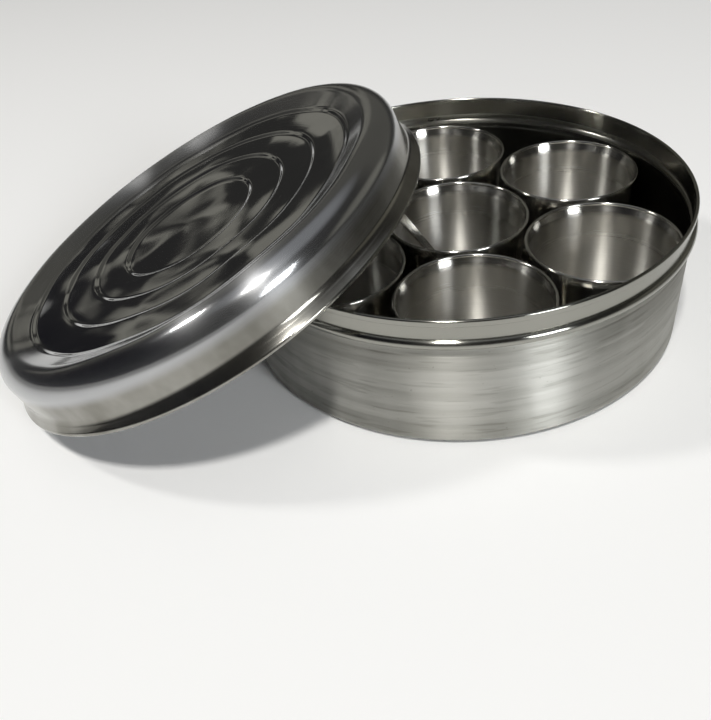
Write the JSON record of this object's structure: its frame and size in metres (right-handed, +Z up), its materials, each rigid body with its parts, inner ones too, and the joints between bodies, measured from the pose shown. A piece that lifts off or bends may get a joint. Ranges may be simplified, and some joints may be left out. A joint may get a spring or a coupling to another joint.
{
  "type": "spice box",
  "caption": "Round steel spice box with small bowls set in a ring about a middle one, a small spoon, and a stepped lid that leans on the rim.",
  "frame": {"origin": "middle of the box's flat base, on the table", "axes": "+Z up along the axis of the box, -Y towards the front of the picture, +X to its right; the lid leans on the -X side"},
  "size_m": [0.3086, 0.2238, 0.1008],
  "materials": {
    "box_steel": "spun satin outside, polished neck and bead",
    "lid_steel": "mirror polish",
    "bowl_steel": "fine spun satin, polished lip",
    "spoon_steel": "polished"
  },
  "bodies": {
    "box": {"box": "box_steel"},
    "lid": {"lid": "lid_steel"},
    "bowl_centre": {"bowl_centre": "bowl_steel"},
    "bowl_front": {"bowl_front": "bowl_steel"},
    "bowl_right": {"bowl_right": "bowl_steel"},
    "bowl_back_right": {"bowl_back_right": "bowl_steel"},
    "bowl_back_left": {"bowl_back_left": "bowl_steel"},
    "bowl_left_back": {"bowl_left_back": "bowl_steel"},
    "bowl_left_front": {"bowl_left_front": "bowl_steel"},
    "spoon": {"spoon": "spoon_steel"}
  },
  "joints": [
    {"name": "lid_lift", "type": "slide", "parent": "box", "child": "lid", "axis": [0, 0, 1], "range_m": [0, 0.12]},
    {"name": "bowl_right_lift", "type": "slide", "parent": "box", "child": "bowl_right", "axis": [0, 0, 1], "range_m": [0, 0.075]},
    {"name": "bowl_back_right_lift", "type": "slide", "parent": "box", "child": "bowl_back_right", "axis": [0, 0, 1], "range_m": [0, 0.075]},
    {"name": "bowl_back_left_lift", "type": "slide", "parent": "box", "child": "bowl_back_left", "axis": [0, 0, 1], "range_m": [0, 0.075]},
    {"name": "bowl_left_back_lift", "type": "slide", "parent": "box", "child": "bowl_left_back", "axis": [0, 0, 1], "range_m": [0, 0.02]},
    {"name": "bowl_left_front_lift", "type": "slide", "parent": "box", "child": "bowl_left_front", "axis": [0, 0, 1], "range_m": [0, 0.023]},
    {"name": "bowl_front_lift", "type": "slide", "parent": "box", "child": "bowl_front", "axis": [0, 0, 1], "range_m": [0, 0.026]},
    {"name": "bowl_centre_lift", "type": "slide", "parent": "box", "child": "bowl_centre", "axis": [0, 0, 1], "range_m": [0, 0.02]},
    {"name": "spoon_lift", "type": "slide", "parent": "bowl_centre", "child": "spoon", "axis": [0, 0, 1], "range_m": [0, 0.018]}
  ]
}
